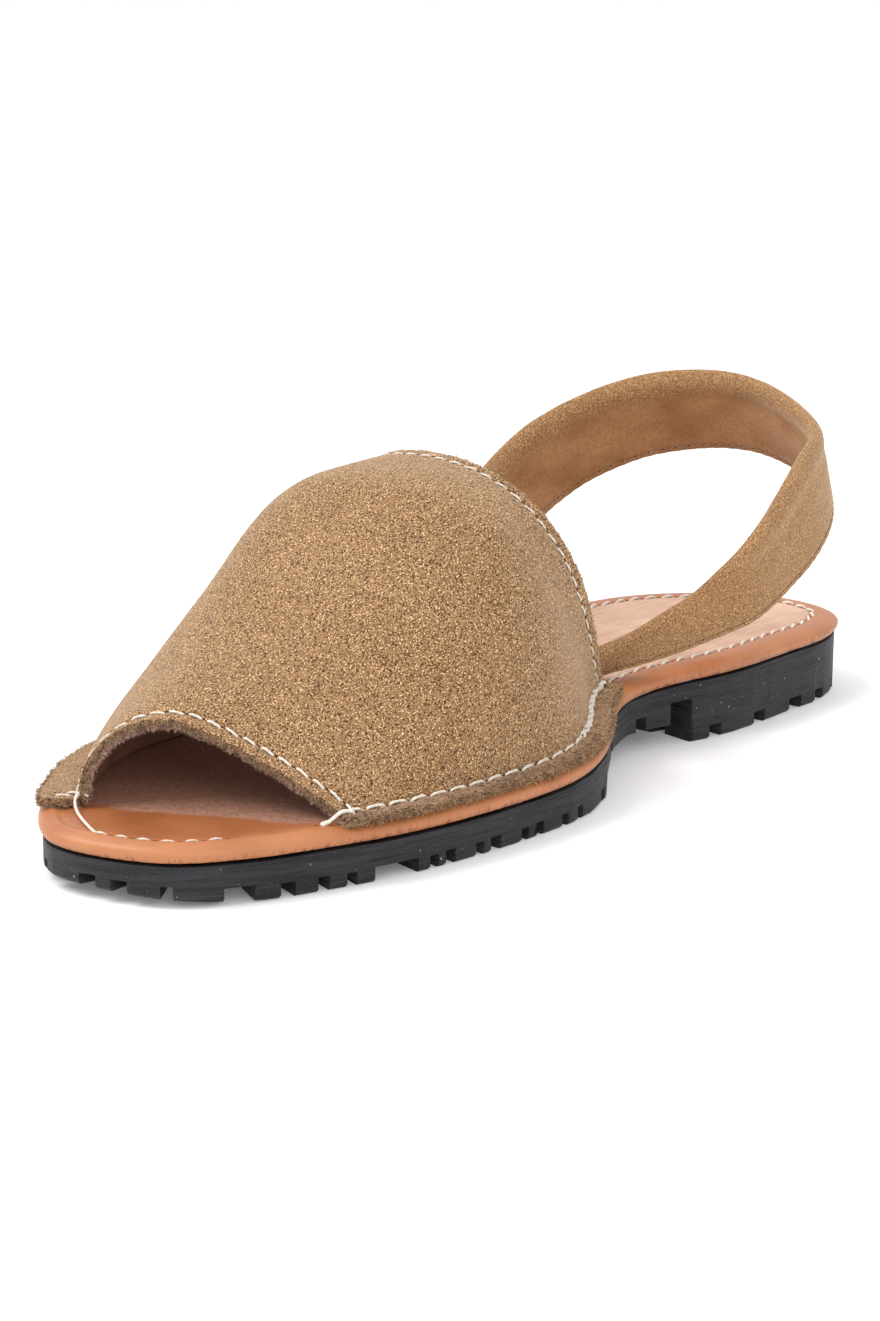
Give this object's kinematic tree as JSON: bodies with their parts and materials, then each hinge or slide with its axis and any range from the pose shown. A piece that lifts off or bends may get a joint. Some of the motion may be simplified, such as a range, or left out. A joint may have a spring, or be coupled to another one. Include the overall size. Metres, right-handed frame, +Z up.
{
  "type": "avarca sandal",
  "caption": "Open-toed slingback sandal: lugged rubber sole, leather-wrapped footbed, arched suede vamp sewn along its flange, and a padded suede heel strap.",
  "frame": {"origin": "centre of the bounding box in plan, on the floor under the lugs", "axes": "+X from heel to toe, +Y to the inner (medial) side of the right foot, +Z up"},
  "size_m": [0.2536, 0.0954, 0.0796],
  "materials": {
    "rubber": "matt black rubber with saw marks on its side",
    "tan_leather": "smooth tan leather, satin",
    "suede": "taupe suede with a short golden nap",
    "strap_suede": "taupe suede, folded and padded"
  },
  "bodies": {
    "root": {"outsole": "rubber", "insole": "tan_leather", "vamp": "suede", "heel_strap": "strap_suede"}
  },
  "joints": []
}
